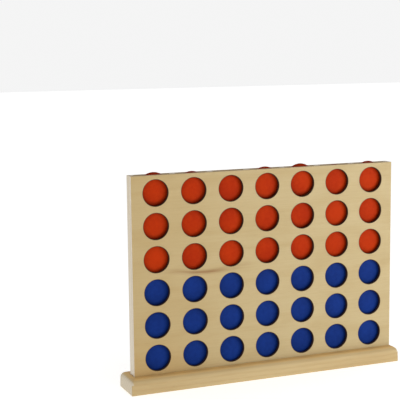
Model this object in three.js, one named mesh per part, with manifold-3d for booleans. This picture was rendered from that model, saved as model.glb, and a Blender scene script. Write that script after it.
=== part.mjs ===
// Four in a row: an upright wooden frame of two drilled panels held apart by strips, standing in a grooved
// base board, with forty-two domed discs dropped into its seven columns. The discs stand on the ridge
// between the base board's two grooves, so lifting the frame off the board lets them all out.
//
// Millimetres, +Z up, columns along X, the two players on -Y and +Y. The origin is the centre of the base
// board's underside. Column 1 is at -X and row 1 is the lowest.

import * as THREE from 'three';
import { mergeVertices } from 'three/addons/utils/BufferGeometryUtils.js';
import Module from 'manifold-3d';

const wasm = await Module();
wasm.setup();

// The game
const COLUMNS = 7;
const ROWS = 6;
const BLUE_ROWS = 3; // the blue player's discs fill the lowest rows, the red player's the rest

// Discs: a flat middle that falls away to a narrow rim
const DISC_D = 25;
const DISC_THICKNESS = 4;
const DISC_RIM = 1.6;
const DISC_FLAT_D = 14;
const DISC_SEGMENTS = 20; // a multiple of four, so that a corner points straight up and straight down
// How much wider than DISC_D the discs of each column came out, from the sanding drum
const DISC_OVERSIZE = [0.13, 0.01, -0.25, 0.06, 0.21, -0.13, 0.06];

// Frame
const PANEL_T = 2.5;
const STRIP_W = 4; // the strips' width across the frame
const SIDE_CLEARANCE = 0.5; // between a disc and the strip on each side of it
const FACE_CLEARANCE = 0.3; // between a disc's face and the panel
const STACK_PROUD = 0.3; // how much less than a disc each row of the frame is high
const WINDOW_LIP = 2.5; // how far the panels reach over a disc's edge
const TOP_MARGIN = 0.8; // what the panels have to spare above the top row
const WINDOW_SEGMENTS = 20;

// Base board
const BASE_DEPTH = 28;
const BASE_HEIGHT = 12;
const BASE_OVERHANG = 4; // past each end of a frame that stands in the middle
const BASE_ROUND = 4.5; // round-over of the four top edges
const BASE_ROUND_STEPS = 4;
// The grooves were cut a little off the board's middle, and the whole frame stands there with its discs
const FRAME_X = 0.75;
const FRAME_Y = -1;
const GROOVE_DEPTH = 4;
const GROOVE_CLEARANCE = 0.2; // beside the panels and past their ends
const STRIP_LIFT = 0.3; // between the strips' feet and the ridge

// Everything else follows
const COLUMN_PITCH = DISC_D + 2 * SIDE_CLEARANCE + STRIP_W;
const ROW_PITCH = DISC_D - STACK_PROUD;
const WINDOW_D = DISC_D - 2 * WINDOW_LIP;
const SLOT = DISC_THICKNESS + 2 * FACE_CLEARANCE;
const FRAME_W = COLUMNS * COLUMN_PITCH + 2 * STRIP_W;
const FRAME_TOP = BASE_HEIGHT + ROWS * ROW_PITCH + TOP_MARGIN;
const PANEL_FOOT = BASE_HEIGHT - GROOVE_DEPTH;
const STRIP_FOOT = BASE_HEIGHT + STRIP_LIFT;
const BASE_LENGTH = FRAME_W + 2 * BASE_OVERHANG;

const columnX = (column) => (column - (COLUMNS - 1) / 2) * COLUMN_PITCH;
const windowZ = (row) => BASE_HEIGHT + (row + 0.5) * ROW_PITCH;

const WOOD = { color: 0xd8bd8a, roughness: 0.62, metalness: 0 };
const BOARD = { color: 0xd3b684, roughness: 0.6, metalness: 0 };
const RED = { color: 0xc8401a, roughness: 0.45, metalness: 0 };
const BLUE = { color: 0x1c3c8c, roughness: 0.45, metalness: 0 };

const group = new THREE.Group();

function add(name, geometry, finish, x = 0, y = 0, z = 0) {
  const mesh = new THREE.Mesh(geometry, new THREE.MeshStandardMaterial(finish));
  mesh.name = name;
  mesh.position.set(x, y, z);
  group.add(mesh);
}

function addToFrame(name, geometry, finish, x = 0, y = 0, z = 0) {
  add(name, geometry, finish, FRAME_X + x, FRAME_Y + y, z);
}

// A rectangle centred on the origin
function rectangle(width, height) {
  const shape = new THREE.Shape();
  shape.moveTo(-width / 2, -height / 2);
  shape.lineTo(width / 2, -height / 2);
  shape.lineTo(width / 2, height / 2);
  shape.lineTo(-width / 2, height / 2);
  shape.closePath();
  return shape;
}

function box(sizeX, sizeY, sizeZ, x, y, z) {
  return new THREE.BoxGeometry(sizeX, sizeY, sizeZ).translate(x, y, z);
}

function toSolid(geometry) {
  const bare = geometry.clone();
  bare.deleteAttribute('normal');
  bare.deleteAttribute('uv');
  const merged = mergeVertices(bare, 1e-4);
  const vertProperties = new Float32Array(merged.attributes.position.array);
  const triVerts = new Uint32Array(merged.index.array);
  return new wasm.Manifold(new wasm.Mesh({ numProp: 3, vertProperties, triVerts }));
}

function toGeometry(solid) {
  const mesh = solid.getMesh();
  const geometry = new THREE.BufferGeometry();
  geometry.setAttribute('position', new THREE.BufferAttribute(mesh.vertProperties, 3));
  geometry.setIndex(new THREE.BufferAttribute(mesh.triVerts, 1));
  geometry.computeVertexNormals();
  return geometry;
}

// The board is extruded upwards with a round-over at both ends of the extrusion, and only its upper end is
// kept. Two stopped grooves take the panels' feet and leave a ridge between them for the discs.
function baseBoard() {
  const rounded = new THREE.ExtrudeGeometry(rectangle(BASE_LENGTH, BASE_DEPTH), {
    depth: 2 * BASE_HEIGHT - 2 * BASE_ROUND,
    bevelThickness: BASE_ROUND,
    bevelSize: BASE_ROUND,
    bevelOffset: -BASE_ROUND,
    bevelSegments: BASE_ROUND_STEPS,
  }).translate(0, 0, BASE_ROUND - BASE_HEIGHT);
  const upper = box(2 * BASE_LENGTH, 2 * BASE_DEPTH, 2 * BASE_HEIGHT, 0, 0, BASE_HEIGHT);
  let board = toSolid(rounded).intersect(toSolid(upper));
  const grooveW = PANEL_T + 2 * GROOVE_CLEARANCE;
  const grooveLength = FRAME_W + 2 * GROOVE_CLEARANCE;
  for (const side of [-1, 1]) {
    const grooveY = FRAME_Y + side * (SLOT + PANEL_T) / 2;
    const groove = box(grooveLength, grooveW, 2 * GROOVE_DEPTH, FRAME_X, grooveY, BASE_HEIGHT);
    board = board.subtract(toSolid(groove));
  }
  return toGeometry(board);
}

// A panel with a round window over each disc, its lower edge down in the groove
function panel() {
  const height = FRAME_TOP - PANEL_FOOT;
  const outline = rectangle(FRAME_W, height);
  const middleZ = PANEL_FOOT + height / 2;
  for (let column = 0; column < COLUMNS; column++) {
    for (let row = 0; row < ROWS; row++) {
      const hole = new THREE.Path();
      hole.absarc(columnX(column), windowZ(row) - middleZ, WINDOW_D / 2, 0, 2 * Math.PI, true);
      outline.holes.push(hole);
    }
  }
  return new THREE.ExtrudeGeometry(outline, {
    depth: PANEL_T,
    bevelEnabled: false,
    curveSegments: WINDOW_SEGMENTS / 2,
  }).rotateX(Math.PI / 2).translate(0, PANEL_T / 2, middleZ);
}

// A disc turned about the Y axis
function disc(diameter) {
  const half = DISC_THICKNESS / 2;
  const rim = DISC_RIM / 2;
  const profile = [
    new THREE.Vector2(0, -half),
    new THREE.Vector2(DISC_FLAT_D / 2, -half),
    new THREE.Vector2(diameter / 2, -rim),
    new THREE.Vector2(diameter / 2, rim),
    new THREE.Vector2(DISC_FLAT_D / 2, half),
    new THREE.Vector2(0, half),
  ];
  return new THREE.LatheGeometry(profile, DISC_SEGMENTS);
}

// A strip between the panels, as wide as the slot is deep
function strip() {
  const height = FRAME_TOP - STRIP_FOOT;
  return box(STRIP_W, SLOT, height, 0, 0, STRIP_FOOT + height / 2);
}

add('base_board', baseBoard(), BOARD);
addToFrame('front_panel', panel(), WOOD, 0, -(SLOT + PANEL_T) / 2);
addToFrame('rear_panel', panel(), WOOD, 0, (SLOT + PANEL_T) / 2);

addToFrame('left_end_strip', strip(), WOOD, -(FRAME_W - STRIP_W) / 2);
for (let column = 1; column < COLUMNS; column++) {
  const between = (columnX(column - 1) + columnX(column)) / 2;
  addToFrame(`strip_${column}_${column + 1}`, strip(), WOOD, between);
}
addToFrame('right_end_strip', strip(), WOOD, (FRAME_W - STRIP_W) / 2);

for (let column = 0; column < COLUMNS; column++) {
  const diameter = DISC_D + DISC_OVERSIZE[column];
  for (let row = 0; row < ROWS; row++) {
    const blue = row < BLUE_ROWS;
    const name = `disc_col${column + 1}_row${row + 1}_${blue ? 'blue' : 'red'}`;
    const z = BASE_HEIGHT + (row + 0.5) * diameter;
    addToFrame(name, disc(diameter), blue ? BLUE : RED, columnX(column), 0, z);
  }
}

export default group;
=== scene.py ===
"""Looks for a wooden four in a row set: two windowed plywood panels on strips, a pine base board and painted
wooden discs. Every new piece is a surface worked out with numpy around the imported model. Metres, +Z up."""

import math

import bmesh
import bpy
import numpy as np
from mathutils import Matrix, Vector


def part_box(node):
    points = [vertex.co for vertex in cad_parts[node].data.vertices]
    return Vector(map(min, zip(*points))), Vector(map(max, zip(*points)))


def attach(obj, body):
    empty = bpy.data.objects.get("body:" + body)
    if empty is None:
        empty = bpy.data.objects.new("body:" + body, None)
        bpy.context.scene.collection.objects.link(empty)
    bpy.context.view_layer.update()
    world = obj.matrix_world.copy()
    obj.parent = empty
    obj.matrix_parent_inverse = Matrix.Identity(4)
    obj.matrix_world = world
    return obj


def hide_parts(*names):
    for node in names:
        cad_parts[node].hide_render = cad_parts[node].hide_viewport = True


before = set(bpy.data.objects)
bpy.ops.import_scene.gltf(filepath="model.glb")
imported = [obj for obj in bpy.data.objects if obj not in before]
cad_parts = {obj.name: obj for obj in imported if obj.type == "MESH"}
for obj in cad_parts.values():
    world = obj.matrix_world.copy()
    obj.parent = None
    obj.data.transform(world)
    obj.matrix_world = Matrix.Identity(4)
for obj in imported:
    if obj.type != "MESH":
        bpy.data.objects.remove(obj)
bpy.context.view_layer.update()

MM = 0.001
COLUMNS, ROWS, BLUE_ROWS = 7, 6, 3

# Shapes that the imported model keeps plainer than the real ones
ROW_PITCH = 24.7 * MM
WINDOW_R = 9.72 * MM
WINDOW_EASE = 0.55 * MM      # rounding of a window's two edges
PANEL_EASE = 0.3 * MM        # rounding of the panels' outer edges
STRIP_EASE = 0.2 * MM
BOARD_ROUND = 4.5 * MM       # round-over of the board's top edges
BOARD_EASE = 0.6 * MM        # rounding of the board's bottom edges
BOARD_CORNER = 16            # the higher, the squarer the board's upright corners
GROOVE_DEPTH = 4 * MM
GROOVE_CLEARANCE = 0.2 * MM
GROOVE_EASE = 0.25 * MM
DISC_FACE_POWER = 2.5        # the higher, the flatter a disc's middle
DISC_RIM_POWER = 3.0         # the higher, the squarer a disc's rim
WELD = 1e-7                  # points closer than this are one point

# The dark mineral streak across the front panel, in millimetres: the middle of its dip, and how fast it
# rises on both sides of that and levels out again, by the square and the fourth power of the way from it
STREAK_X, STREAK_Z = -50, 86.2
STREAK_RISE, STREAK_LEVELLING = 0.004, 0.0000012


# ---------------------------------------------------------------- mesh making

def grid_quads(shape, start):
    """Corner numbers of the quads of a stack of grids of the given (grids, rows, columns) shape."""
    number = np.arange(np.prod(shape)).reshape(shape) + start
    corners = number[:, :-1, :-1], number[:, 1:, :-1], number[:, 1:, 1:], number[:, :-1, 1:]
    return np.stack(corners, -1).reshape(-1, 4)


def welded(points, quads):
    """One copy of each point, the faces on them, and which copy of each point was kept. A quad with two
    corners on one point turns into a triangle, and one with no area goes."""
    keys = np.round(points / WELD).astype(np.int64)
    _, kept, renumber = np.unique(keys, axis=0, return_index=True, return_inverse=True)
    quads = renumber.reshape(-1)[quads]
    pinched = (quads == np.roll(quads, -1, axis=1)).any(1) | (quads[:, 0] == quads[:, 2])
    pinched |= quads[:, 1] == quads[:, 3]
    triangles = np.concatenate([quads[pinched][:, [0, 1, 2]], quads[pinched][:, [0, 2, 3]]])
    a, b, c = triangles.T
    return points[kept], quads[~pinched], triangles[(a != b) & (b != c) & (c != a)], kept


def make_piece(name, patches, marks=None):
    """A closed mesh object from grids of points, each shaped (grids, rows, columns, 3). marks holds, for each
    named point attribute, one value array for each patch."""
    quads, start = [], 0
    for patch in patches:
        quads.append(grid_quads(patch.shape[:3], start))
        start += patch[..., 0].size
    points = np.concatenate([patch.reshape(-1, 3) for patch in patches])
    points, quads, triangles, kept = welded(points, np.concatenate(quads))
    mesh = bpy.data.meshes.new(name)
    corners = np.concatenate([quads.ravel(), triangles.ravel()]).astype(np.int32)
    sizes = np.concatenate([np.full(len(quads), 4), np.full(len(triangles), 3)])
    mesh.vertices.add(len(points))
    mesh.loops.add(len(corners))
    mesh.polygons.add(len(sizes))
    mesh.vertices.foreach_set("co", points.astype(np.float32).ravel())
    mesh.loops.foreach_set("vertex_index", corners)
    mesh.polygons.foreach_set("loop_start", (np.cumsum(sizes) - sizes).astype(np.int32))
    mesh.polygons.foreach_set("use_smooth", np.ones(len(sizes), bool))
    mesh.update(calc_edges=True)
    mesh.validate()
    for mark, values in (marks or {}).items():
        attribute = mesh.attributes.new(mark, "FLOAT", "POINT")
        values = np.concatenate([np.broadcast_to(v, p.shape[:3]).ravel() for v, p in zip(values, patches)])
        attribute.data.foreach_set("value", values[kept].astype(np.float32))
    edit = bmesh.new()
    edit.from_mesh(mesh)
    bmesh.ops.recalc_face_normals(edit, faces=edit.faces)
    edit.to_mesh(mesh)
    edit.free()
    piece = bpy.data.objects.new(name, mesh)
    bpy.context.scene.collection.objects.link(piece)
    normals = piece.modifiers.new("flat faces stay flat", "WEIGHTED_NORMAL")
    normals.weight = 100
    return piece


def quarter_turn(steps):
    """Angles from 0 to a right angle."""
    return np.linspace(0, math.pi / 2, steps + 1)


def eased_section(ease, thickness, steps=4, walls=2):
    """How far out (0 at a face's edge, ease at the wall) and how deep (0 to thickness) a rounded edge, the
    wall and the second rounded edge run: a quarter circle, a straight, a quarter circle."""
    turn = quarter_turn(steps)
    out = np.concatenate([np.sin(turn), np.ones(walls - 1), np.cos(turn)]) * ease
    deep = 1 - np.cos(turn)
    straight = np.linspace(ease, thickness - ease, walls + 1)[1:-1]
    return out, np.concatenate([deep * ease, straight, thickness - ease + np.sin(turn) * ease])


# ---------------------------------------------------------------- the pieces' surfaces

def panel_cells(x_lines, z_lines, centres_x, centres_z, front, back):
    """The panel as one cell for each window. In a cell a ray leaves the window's centre at every angle; the
    surface follows it from the cell's border over the front face, round the window's eased edge, through the
    wall and back over the rear face to the border. Each quarter of a cell has a ray through its corner, and
    neighbouring quarters mirror each other, so the cells meet point to point."""
    below_corner, above_corner = 10, 9
    centre_x, centre_z = (a.ravel() for a in np.meshgrid(centres_x, centres_z, indexing="ij"))
    left, down = (a.ravel() for a in np.meshgrid(x_lines[:-1], z_lines[:-1], indexing="ij"))
    right, up = (a.ravel() for a in np.meshgrid(x_lines[1:], z_lines[1:], indexing="ij"))
    rays = []
    for side_x, side_z in ((1, 1), (-1, 1), (-1, -1), (1, -1)):
        reach_x = right - centre_x if side_x > 0 else centre_x - left
        reach_z = up - centre_z if side_z > 0 else centre_z - down
        corner = np.arctan2(reach_z, reach_x)[:, None]
        low = corner * np.linspace(0, 1, below_corner + 1)
        high = corner + (math.pi / 2 - corner) * np.linspace(0, 1, above_corner + 1)[1:]
        angle = np.concatenate([low, high], 1)
        if side_x * side_z < 0:
            angle = angle[:, ::-1]
        ray = np.stack([side_x * np.cos(angle), side_z * np.sin(angle)], -1)
        reach = np.stack([reach_x, reach_z], -1)[:, None] / np.maximum(np.abs(ray), 1e-9)
        rays.append(np.concatenate([ray, reach.min(-1, keepdims=True)], -1))
    rays = np.concatenate(rays, 1)
    direction, border = rays[..., :2], rays[..., 2]
    out, deep = eased_section(WINDOW_EASE, back - front)
    flat_ring = 0.6 * MM
    guard = WINDOW_R + WINDOW_EASE + flat_ring
    radius = np.concatenate([[guard], WINDOW_R + WINDOW_EASE - out, [guard]])
    depth = np.concatenate([[0], deep, [back - front]])
    radius = np.broadcast_to(radius[None, :, None], (len(border), len(radius), border.shape[1]))
    radius = np.concatenate([border[:, None], radius, border[:, None]], 1)
    depth = np.concatenate([[0], depth, [back - front]])
    x = centre_x[:, None, None] + radius * direction[:, None, :, 0]
    z = centre_z[:, None, None] + radius * direction[:, None, :, 1]
    y = np.broadcast_to((front + depth)[None, :, None], x.shape)
    # the window walls and the inner part of their eased edges: the cutter's scorch together with painted
    # shade
    scorch_and_shade = np.clip((WINDOW_R + WINDOW_EASE - radius) / (WINDOW_EASE * 0.4), 0, 1)
    return np.stack([x, y, z], -1), scorch_and_shade, np.broadcast_to(depth[None, :, None] / (back - front), x.shape)


def panel_rim(cells, front, back):
    """The panel's outer edge: the eased section carried round the border of the outermost cells. At each
    corner the way out turns through a right angle, so the corners are rounded too. Beside the places come
    three marks: how far out on the section, how deep into the plies, and how nearly the edge lies level."""
    x, z = np.round(cells[:, 0, :, 0] / WELD) * WELD, np.round(cells[:, 0, :, 2] / WELD) * WELD
    low_x, high_x, low_z, high_z = x.min(), x.max(), z.min(), z.max()
    turn = quarter_turn(4)
    sides = (
        (np.unique(x[z == low_z]), low_z, 0, -math.pi / 2),
        (np.unique(z[x == high_x]), high_x, 1, 0),
        (np.unique(x[z == high_z])[::-1], high_z, 0, math.pi / 2),
        (np.unique(z[x == low_x])[::-1], low_x, 1, math.pi),
    )
    places, ways = [], []
    for along, fixed, axis, way in sides:
        across = np.full(len(along), fixed)
        side = np.stack([along, across] if axis == 0 else [across, along], -1)
        places += [side, np.repeat(side[-1:], len(turn), 0)]
        ways += [np.full(len(along), way), way + turn]
    place = np.concatenate(places + [places[0][:1]])
    way = np.concatenate(ways + [ways[0][:1]])
    out, deep = eased_section(PANEL_EASE, back - front)
    rim_x = place[:, 0] + out[:, None] * np.cos(way)
    rim_z = place[:, 1] + out[:, None] * np.sin(way)
    rim_y = np.broadcast_to((front + deep)[:, None], rim_x.shape)
    edge = np.broadcast_to((out / PANEL_EASE)[:, None], rim_x.shape)
    ply = np.broadcast_to((deep / (back - front))[:, None], rim_x.shape)
    level = np.broadcast_to(np.abs(np.sin(way)), rim_x.shape)
    return np.stack([rim_x, rim_y, rim_z], -1)[None], edge[None], ply[None], level[None]


def make_panel(name):
    """A whole panel: its window cells and its rim."""
    low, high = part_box(name)
    lowest = [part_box(disc_name(column, 1)) for column in range(1, COLUMNS + 1)]
    centres_x = np.array([sum(corner.x for corner in box) / 2 for box in lowest])
    centres_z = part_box("base_board")[1].z + (np.arange(ROWS) + 0.5) * ROW_PITCH
    between_x = (centres_x[1:] + centres_x[:-1]) / 2
    x_lines = np.concatenate([[low.x + PANEL_EASE], between_x, [high.x - PANEL_EASE]])
    z_lines = np.concatenate([[low.z + PANEL_EASE], centres_z[1:] - ROW_PITCH / 2, [high.z - PANEL_EASE]])
    cells, scorch_and_shade, ply = panel_cells(x_lines, z_lines, centres_x, centres_z, low.y, high.y)
    rim, edge, rim_ply, level = panel_rim(cells, low.y, high.y)
    marks = {"scorch_and_shade": [scorch_and_shade, 0.0], "edge": [0.0, edge], "ply": [ply, rim_ply], "level": [0.0, level]}
    return make_piece(name + "_ply", [cells, rim], marks)


def make_strip(name, shown_name):
    """A box with rounded edges and corners: a small sphere whose eight octants are pulled out to the box's
    corners, closed at top and bottom by a point in the middle of each end."""
    low, high = (np.array(c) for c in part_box(name))
    middle, half = (low + high) / 2, (high - low) / 2
    turn = quarter_turn(3)
    around = np.concatenate([turn + quarter * math.pi / 2 for quarter in range(4)] + [[0]])
    side_x = np.append(np.repeat([1, -1, -1, 1], len(turn)), 1)
    side_y = np.append(np.repeat([1, 1, -1, -1], len(turn)), 1)
    above = np.concatenate([-turn[::-1], turn])[:, None]
    side_z = np.repeat([-1, 1], len(turn))[:, None]
    ball = [np.cos(above) * np.cos(around), np.cos(above) * np.sin(around), np.sin(above) + 0 * around]
    side = [side_x, side_y, side_z]
    shell = [middle[i] + side[i] * (half[i] - STRIP_EASE) + STRIP_EASE * ball[i] for i in range(3)]
    shell = np.stack(np.broadcast_arrays(*shell), -1)
    ends = [np.broadcast_to([middle[0], middle[1], z], shell[:1].shape) for z in (low[2], high[2])]
    return make_piece(shown_name, [np.concatenate([ends[0], shell, ends[1]])[None]])


def make_board(name, shown_name):
    """The base board: a sheet of crossing lines for the top and another for the bottom, joined round their
    borders. At the ends and sides the lines roll over a quarter circle, whose two directions are blended by a
    superellipse so that the upright corners stay nearly square. Over a groove, where both a line's own depth
    along X and one along Y reach down, the sheet drops by the smaller of the two."""
    low, high = (np.array(c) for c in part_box(name))
    half = (high - low)[:2] / 2
    inner = half - BOARD_ROUND
    slight = GROOVE_EASE * 0.3
    dip = np.array([(0, 0), (slight, slight), (GROOVE_EASE, GROOVE_EASE), (GROOVE_EASE, GROOVE_DEPTH)])

    def lines(axis, grooves, spare):
        """Places of the lines along one axis, how deep they reach down, and how far round the roll-over they
        lie, -1 to 1."""
        roll = inner[axis] + BOARD_ROUND * np.sin(quarter_turn(8))
        place, depth = [-roll, roll], [0 * roll, 0 * roll]
        for start, end in grooves:
            run = dip[:, 0] - GROOVE_EASE
            place += [start + run, np.linspace(start, end, spare + 2)[1:-1], end - run[::-1]]
            depth += [dip[:, 1], np.full(spare, GROOVE_DEPTH), dip[::-1, 1]]
        place, depth = np.concatenate(place), np.concatenate(depth)
        order = np.argsort(place, kind="stable")
        place, depth = place[order], depth[order]
        past = np.clip((np.abs(place) - inner[axis]) / BOARD_ROUND, 0, 1)
        return place.clip(-inner[axis], inner[axis]), depth, np.sign(place) * np.arcsin(past) / (math.pi / 2)

    panels = [[np.array(c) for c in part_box(panel)] for panel in ("front_panel", "rear_panel")]
    groove_x = (panels[0][0][0] - GROOVE_CLEARANCE, panels[0][1][0] + GROOVE_CLEARANCE)
    grooves_y = [(panel[0][1] - GROOVE_CLEARANCE, panel[1][1] + GROOVE_CLEARANCE) for panel in panels]
    place_x, depth_x, share_x = lines(0, [groove_x], 12)
    place_y, depth_y, share_y = lines(1, grooves_y, 0)
    share_x, share_y = share_x[:, None], share_y[None]
    most = np.maximum(np.abs(share_x), np.abs(share_y))
    blend = (np.abs(share_x) ** BOARD_CORNER + np.abs(share_y) ** BOARD_CORNER) ** (1 / BOARD_CORNER)
    blend = np.maximum(blend, 1e-9)

    def sheet(radius, level, upward, depth):
        """Lines placed for one rounding radius, their height measured from the level inwards."""
        grow = (half - radius) / inner
        out, drop = radius * np.sin(most * math.pi / 2), radius * (1 - np.cos(most * math.pi / 2))
        x = place_x[:, None] * grow[0] + out * share_x / blend
        y = place_y[None] * grow[1] + out * share_y / blend
        return np.stack([x, y, level - upward * np.maximum(drop, depth)], -1)

    top = sheet(BOARD_ROUND, high[2], 1, np.minimum(depth_x[:, None], depth_y[None]))
    bottom = sheet(BOARD_EASE, low[2], -1, 0)
    rings = [np.concatenate([s[:, 0], s[-1, 1:], s[-2::-1, -1], s[0, -2::-1]]) for s in (top, bottom)]
    end_start, end_run = 0.45, 0.25
    end = np.clip((np.abs(share_x) - end_start) / end_run, 0, 1) * (np.abs(share_y) < 1)
    end = np.broadcast_to(end, top.shape[:2])
    end_ring = np.concatenate([end[:, 0], end[-1, 1:], end[-2::-1, -1], end[0, -2::-1]])
    marks = {"end": [end[None], end[None], np.stack([end_ring] * 2)[None]]}
    return make_piece(shown_name, [top[None], bottom[None], np.stack(rings)[None]], marks)


def make_disc(name, shown_name):
    """A turned disc: the section is half a superellipse, wide and flat in the middle and round at the rim,
    spun about the disc's own axis along Y. The rim mark rises from the flat towards the edge; the paint
    uses it for painted shade."""
    low, high = (np.array(c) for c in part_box(name))
    middle, half = (low + high) / 2, (high - low) / 2
    around = np.linspace(0, 2 * math.pi, 97)
    along = np.linspace(0, math.pi, 33)
    radius = half[2] * np.abs(np.sin(along)) ** (2 / DISC_FACE_POWER)
    bulge = half[1] * np.sign(np.cos(along)) * np.abs(np.cos(along)) ** (2 / DISC_RIM_POWER)
    radius[[0, -1]] = 0
    x = middle[0] + radius[:, None] * np.sin(around)
    z = middle[2] + radius[:, None] * np.cos(around)
    y = np.broadcast_to((middle[1] + bulge)[:, None], x.shape)
    rim_start, rim_run = 0.68, 0.26
    rim = np.clip((radius / half[2] - rim_start) / rim_run, 0, 1)[:, None]
    return make_piece(shown_name, [np.stack([x, y, z], -1)[None]], {"rim": [rim]})


def disc_name(column, row):
    return f"disc_col{column}_row{row}_{'blue' if row <= BLUE_ROWS else 'red'}"


# ---------------------------------------------------------------- materials

class Value:
    """A socket of a material's node tree, on which arithmetic adds Math nodes."""

    def __init__(self, graph, socket):
        self.graph, self.socket = graph, socket

    def _math(self, operation, *inputs):
        return self.graph.node("ShaderNodeMath", {"operation": operation}, dict(enumerate(inputs)))

    def __add__(self, other):
        return self._math("ADD", self, other)

    def __sub__(self, other):
        return self._math("SUBTRACT", self, other)

    def __mul__(self, other):
        return self._math("MULTIPLY", self, other)

    def __pow__(self, other):
        return self._math("POWER", self, other)

    __radd__ = __add__

    def __rsub__(self, other):
        return self._math("SUBTRACT", other, self)

    def sine(self):
        return self._math("SINE", self)

    def between(self, low, high):
        """0 at low, 1 at high, with a smooth run between them."""
        settings = {"interpolation_type": "SMOOTHSTEP"}
        inputs = {"Value": self, "From Min": low, "From Max": high}
        return self.graph.node("ShaderNodeMapRange", settings, inputs)


class Graph:
    """A material's node tree. node() takes a node's type, its settings and its inputs' values or links."""

    def __init__(self, name):
        self.material = bpy.data.materials.new(name)
        self.material.use_nodes = True
        self.tree = self.material.node_tree
        self.tree.nodes.clear()

    def node(self, kind, settings=None, inputs=None, output=0):
        made = self.tree.nodes.new(kind)
        for key, value in (settings or {}).items():
            setattr(made, key, value)
        for key, value in (inputs or {}).items():
            if isinstance(value, Value):
                self.tree.links.new(value.socket, made.inputs[key])
            else:
                made.inputs[key].default_value = value
        return Value(self, made.outputs[output]) if made.outputs else None

    def place(self, scale, offset=(0, 0, 0)):
        """Object coordinates in millimetres, stretched by scale and moved by offset."""
        place = self.node("ShaderNodeTexCoord", output="Object")
        scale = tuple(s / MM for s in scale)
        return self.node("ShaderNodeMapping", inputs={"Vector": place, "Scale": scale, "Location": offset})

    def noise(self, scale, offset=(0, 0, 0), detail=3.0, roughness=0.5):
        """Noise from 0 to 1, with one feature to a millimetre along an axis whose scale is 1."""
        inputs = {"Vector": self.place(scale, offset), "Scale": 1.0, "Detail": detail, "Roughness": roughness}
        return self.node("ShaderNodeTexNoise", inputs=inputs)

    def mix(self, share, first, second):
        """A colour that goes from first to second as share goes from 0 to 1."""
        inputs = {"Factor": share, 6: first, 7: second}
        return self.node("ShaderNodeMix", {"data_type": "RGBA"}, inputs, output=2)

    def mark(self, name):
        return self.node("ShaderNodeAttribute", {"attribute_name": name}, output="Fac")

    def bump(self, height, distance):
        return self.node("ShaderNodeBump", inputs={"Height": height, "Distance": distance, "Strength": 1.0})

    def finish(self, colour, roughness, normal, **constants):
        """The Principled shader, with the constants set on its own sockets."""
        inputs = {"Base Color": colour, "Roughness": roughness, "Normal": normal, **constants}
        shader = self.node("ShaderNodeBsdfPrincipled", inputs=inputs)
        self.node("ShaderNodeOutputMaterial", inputs={"Surface": shader})
        return self.material


def colour(red, green, blue):
    """A display colour, 0 to 255, as the linear colour that a socket takes."""
    levels = np.array([red, green, blue]) / 255
    linear = np.where(levels <= 0.04045, levels / 12.92, ((levels + 0.055) / 1.055) ** 2.4)
    return (*(float(v) for v in linear), 1.0)


def panel_material():
    """Rotary-cut plywood, its grain along X: contour lines of a slow noise make the veneer's loops, and long
    thin noise its fibres. The veneer is darker and more golden towards column 1, partly its own tone and
    partly painted shade, and low down on that side more golden still, as painted warm light bounced from
    the base board. One dark mineral streak crosses the front panel, where a height less a curve's height,
    squared, is small. The window walls and the inner part of their eased edges are near-black: the cutter's
    scorch together with painted shade. The outer edges show the plies, and the edges that lie level are
    darker with painted shade."""
    g = Graph("panel_plywood")
    place = g.place((1, 1, 1))
    x, y, z = (g.node("ShaderNodeSeparateXYZ", inputs={0: place}, output=axis) for axis in range(3))
    slow = g.noise((0.0045, 0.02, 0.016), detail=2.0)
    loops = ((slow * 62).sine() * 0.5 + 0.5) ** 1.6
    cloud = g.noise((0.012, 0.03, 0.03), (7, 3, 1), detail=2.0)
    streak = g.noise((0.02, 0.9, 0.9), (3, 1, 5), detail=4.0, roughness=0.6)
    fibre = g.noise((0.12, 3.2, 3.2), (1, 9, 2), detail=3.0, roughness=0.65)
    pore = g.noise((0.16, 4.5, 4.5), (5, 2, 8), detail=2.0).between(0.64, 0.74)
    tone = loops * 0.16 + cloud * 0.42 + streak * 0.42
    wood = g.mix(tone.between(0.2, 0.85), colour(192, 173, 130), colour(181, 158, 111))
    # darker and more golden towards column 1: partly the veneer's own tone, partly painted shade
    wood = g.mix(x.between(40, -110) * 0.36, wood, colour(176, 146, 90))
    # painted light: warm light bounced from the base board, more golden low down on the left
    wood = g.mix(x.between(-30, -110) * z.between(50, 8) * 0.5, wood, colour(184, 144, 80))
    wood = g.mix(fibre.between(0.35, 0.75) * 0.14, wood, colour(164, 133, 84))
    wood = g.mix(pore * 0.25, wood, colour(132, 98, 58))
    curl = (x - STREAK_X) * (x - STREAK_X)
    off = z - STREAK_Z - curl * STREAK_RISE + curl * curl * STREAK_LEVELLING + (streak - 0.5) * 3.0
    off = off * off
    core = off.between(1.6, 0.0) * x.between(-78, -60) * x.between(-30, -48)
    mineral = off.between(9.0, 0.0) * 0.35 + core * 0.6
    mineral = mineral * x.between(-100, -66) * x.between(-4, -40) * y.between(0, -2)
    wood = g.mix(mineral * (0.3 + streak * 1.1), wood, colour(144, 108, 66))
    ply = g.mark("ply")
    cross = ply.between(0.3, 0.36) * (1 - ply.between(0.64, 0.7))
    edge_wood = g.mix(cross * 0.45, colour(222, 213, 198), colour(198, 180, 152))
    edge_wood = g.mix(streak.between(0.3, 0.8) * 0.3, edge_wood, colour(198, 182, 156))
    # painted shade: the edges that lie level, the panel's top and bottom, are darker
    edge_wood = g.mix(g.mark("level").between(0.4, 0.9) * 0.8, edge_wood, colour(160, 132, 92))
    wood = g.mix(g.mark("edge").between(0.2, 0.9), wood, edge_wood)
    # near-black brown on the window walls: the cutter's scorch together with painted shade
    scorch_and_shade_colour = g.mix(fibre.between(0.3, 0.8), colour(62, 38, 22), colour(36, 21, 12))
    wood = g.mix(g.mark("scorch_and_shade"), wood, scorch_and_shade_colour)
    normal = g.bump(fibre * 0.6 + streak * 0.4 - pore * 0.5, 0.06 * MM)
    return g.finish(wood, 0.5 + fibre * 0.14, normal, **{"Specular IOR Level": 0.3})


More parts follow.
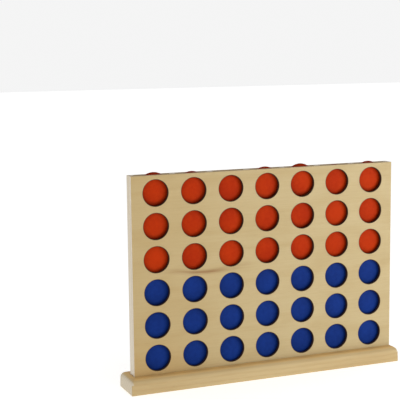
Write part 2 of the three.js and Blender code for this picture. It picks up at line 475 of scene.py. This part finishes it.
def strip_material():
    """Pale straight-grained wood, its grain along Z and small rings on its ends."""
    g = Graph("strip_wood")
    cloud = g.noise((0.3, 0.3, 0.01), (2, 6, 4), detail=2.0)
    fibre = g.noise((3.0, 3.0, 0.1), (4, 1, 1), detail=4.0, roughness=0.6)
    tone = (cloud * 0.5 + fibre * 0.5).between(0.25, 0.75)
    wood = g.mix(tone, colour(226, 217, 200), colour(204, 188, 160))
    return g.finish(wood, 0.55 + fibre * 0.12, g.bump(fibre, 0.05 * MM), **{"Specular IOR Level": 0.3})


def board_material():
    """Solid pine sawn along the trunk: growth rings are cylinders about an axis that runs along X below and
    behind the board, warped by a slow noise, so they show as long lines on the faces and arcs on the ends.
    The top is painted lighter and more golden, as warm light from above and from the panels, and the end
    grain is paler and greyer."""
    g = Graph("board_pine")
    warp = g.noise((0.006, 0.03, 0.03), (1, 4, 2), detail=2.0)
    place = g.place((0.0, 1.0, 1.0), (0, 34, 21))
    across = g.node("ShaderNodeVectorMath", {"operation": "LENGTH"}, {0: place}, output="Value")
    ring = ((across * 2.1 + warp * 22).sine() * 0.5 + 0.5) ** 3.0
    cloud = g.noise((0.01, 0.05, 0.05), (9, 1, 3), detail=2.0)
    fibre = g.noise((0.07, 2.4, 2.4), (6, 2, 1), detail=4.0, roughness=0.62)
    wood = g.mix(cloud.between(0.3, 0.7), colour(198, 175, 128), colour(186, 160, 112))
    wood = g.mix(ring * 0.2, wood, colour(166, 132, 84))
    wood = g.mix(fibre.between(0.35, 0.8) * 0.2, wood, colour(160, 128, 84))
    z = g.node("ShaderNodeSeparateXYZ", inputs={0: g.place((1, 1, 1))}, output=2)
    # painted light: the top face and upper round-over are lighter and more golden, as if warmly lit
    wood = g.mix(z.between(10.4, 11.9) * 0.6, wood, colour(224, 178, 106))
    speck = g.noise((1.6, 1.6, 1.6), (2, 7, 4), detail=4.0, roughness=0.7)
    pores = speck.between(0.3, 0.75) * 0.6 + ring * 0.25
    end_grain = g.mix(pores, colour(218, 208, 188), colour(192, 176, 148))
    wood = g.mix(g.mark("end").between(0.0, 1.0) * 0.85, wood, end_grain)
    normal = g.bump(fibre * 0.7 + ring * 0.5, 0.07 * MM)
    return g.finish(wood, 0.48 + fibre * 0.16, normal, **{"Specular IOR Level": 0.3})


def paint_material(name, body, deep, painted_rim_shade):
    """Satin paint on wood: a slow noise gives each disc a tone of its own, the wood's grain shows faintly
    through the film, and the rim is darkened with painted shade."""
    g = Graph(name)
    shade = g.noise((0.04, 0.04, 0.04), (3, 8, 5), detail=0.0)
    mottle = g.noise((0.35, 0.35, 0.35), (2, 2, 7), detail=3.0)
    grain = g.noise((0.5, 0.5, 5.0), (1, 5, 3), detail=3.0, roughness=0.6)
    skin = g.noise((2.2, 2.2, 2.2), (6, 1, 2), detail=2.0)
    paint = g.mix((shade * 0.6 + mottle * 0.4).between(0.3, 0.7), body, deep)
    paint = g.mix(grain.between(0.55, 0.85) * 0.12, paint, deep)
    # painted shade: the paint darkens towards the rim, where the slot and the window walls shade a disc
    paint = g.mix(g.mark("rim") * (0.5 + mottle * 0.3), paint, painted_rim_shade)
    normal = g.bump(grain * 0.5 + skin * 0.5, 0.05 * MM)
    return g.finish(paint, 0.46 + mottle * 0.14, normal, **{"Specular IOR Level": 0.05})


def floor_material():
    g = Graph("floor_paper")
    tooth = g.noise((0.6, 0.6, 0.6), detail=2.0)
    paper = g.mix(tooth, colour(250, 250, 249), colour(247, 247, 246))
    light = {"Emission Color": (1.0, 1.0, 1.0, 1.0), "Emission Strength": 0.5}
    return g.finish(paper, 0.8 + tooth * 0.1, g.bump(tooth, 0.02 * MM), **light)


# ---------------------------------------------------------------- the object

def dress(piece, node, body, material):
    """Gives a piece its material, hangs it under the empty of the body it moves with, and hides the node
    it stands for.
    """
    piece.data.materials.append(material)
    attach(piece, body)
    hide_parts(node)


plywood, strip_wood, pine = panel_material(), strip_material(), board_material()
# each paint's third colour is the painted shade at the disc's rim
red_paint = paint_material("red_paint", colour(182, 50, 3), colour(166, 40, 2), colour(96, 24, 6))
blue_paint = paint_material("blue_paint", colour(18, 50, 126), colour(14, 42, 110), colour(8, 22, 62))

dress(make_board("base_board", "base_board_pine"), "base_board", "base", pine)
for side in ("front_panel", "rear_panel"):
    dress(make_panel(side), side, "frame", plywood)
for node in sorted(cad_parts):
    if "strip" in node:
        dress(make_strip(node, node + "_wood"), node, "frame", strip_wood)
for column in range(1, COLUMNS + 1):
    for row in range(1, ROWS + 1):
        node = disc_name(column, row)
        paint = blue_paint if row <= BLUE_ROWS else red_paint
        dress(make_disc(node, node + "_painted"), node, node, paint)


# ---------------------------------------------------------------- floor, lights and camera

def add_floor():
    """A wide sheet of paper under the set."""
    reach, gap = 6.0, 0.02 * MM
    edge = np.array([-reach, reach])
    x, y = np.meshgrid(edge, edge, indexing="ij")
    mesh = bpy.data.meshes.new("floor")
    points = np.stack([x, y, 0 * x - gap], -1).reshape(-1, 3)
    mesh.from_pydata(points.tolist(), [], [(0, 2, 3, 1)])
    mesh.materials.append(floor_material())
    floor = bpy.data.objects.new("floor", mesh)
    bpy.context.scene.collection.objects.link(floor)


def add_light(name, place, target, width, height, power):
    """A soft light with an oblong face that is turned to a point."""
    lamp = bpy.data.lights.new(name, "AREA")
    lamp.shape, lamp.size, lamp.size_y, lamp.energy = "RECTANGLE", width, height, power
    light = bpy.data.objects.new(name, lamp)
    light.location = place
    light.rotation_euler = (Vector(target) - Vector(place)).to_track_quat("-Z", "Y").to_euler()
    bpy.context.scene.collection.objects.link(light)


def add_camera():
    """A long lens, a little above the set and round to its left. The camera stands back from the middle of
    the front panel's windows along its own line of sight and is shifted sideways and up across it."""
    azimuth, elevation, roll = math.radians(-22.053), math.radians(7.779), math.radians(-0.651)
    back_off, aside, above = 0.84672, -0.05172, 0.0506
    lens = 99.53
    low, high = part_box("front_panel")
    middle = Vector(((low.x + high.x) / 2, low.y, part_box("base_board")[1].z + ROWS / 2 * ROW_PITCH))
    back = Vector((math.sin(azimuth) * math.cos(elevation), -math.cos(azimuth) * math.cos(elevation),
                   math.sin(elevation)))
    level = (-back).cross(Vector((0, 0, 1))).normalized()
    upright = level.cross(-back)
    right = math.cos(roll) * level + math.sin(roll) * upright
    up = math.cos(roll) * upright - math.sin(roll) * level
    data = bpy.data.cameras.new("camera")
    data.lens, data.sensor_width = lens, 36
    data.clip_start, data.clip_end = 0.05, 50
    camera = bpy.data.objects.new("camera", data)
    place = middle + back_off * back + aside * right + above * up
    axes = Matrix((right, up, back)).transposed().to_4x4()
    camera.matrix_world = Matrix.Translation(place) @ axes
    bpy.context.scene.collection.objects.link(camera)
    bpy.context.scene.camera = camera


def add_room(walls, ceiling):
    """White walls all round under a dimmer ceiling: the brightness falls smoothly from the walls' height to
    the ceiling's."""
    world = bpy.data.worlds.new("studio")
    world.use_nodes = True
    nodes, links = world.node_tree.nodes, world.node_tree.links
    way = nodes.new("ShaderNodeTexCoord")
    height = nodes.new("ShaderNodeSeparateXYZ")
    run = nodes.new("ShaderNodeMapRange")
    run.interpolation_type = "SMOOTHSTEP"
    walls_top, ceiling_start = 0.06, 0.35
    heights = {"From Min": walls_top, "From Max": ceiling_start, "To Min": walls, "To Max": ceiling}
    for name, value in heights.items():
        run.inputs[name].default_value = value
    links.new(way.outputs["Generated"], height.inputs[0])
    links.new(height.outputs["Z"], run.inputs["Value"])
    nodes["Background"].inputs["Color"].default_value = (1, 1, 1, 1)
    links.new(run.outputs["Result"], nodes["Background"].inputs["Strength"])
    bpy.context.scene.world = world


add_floor()
add_room(walls=0.91, ceiling=0.55)
add_light("key", (0.40, -0.44, 0.13), (0.03, 0, 0.085), 0.36, 0.28, 1.3)
add_light("fill", (-0.9, -0.5, 0.45), (-0.1, 0, 0.08), 0.6, 0.6, 0.8)
add_camera()
bpy.context.scene.view_settings.view_transform = "Standard"
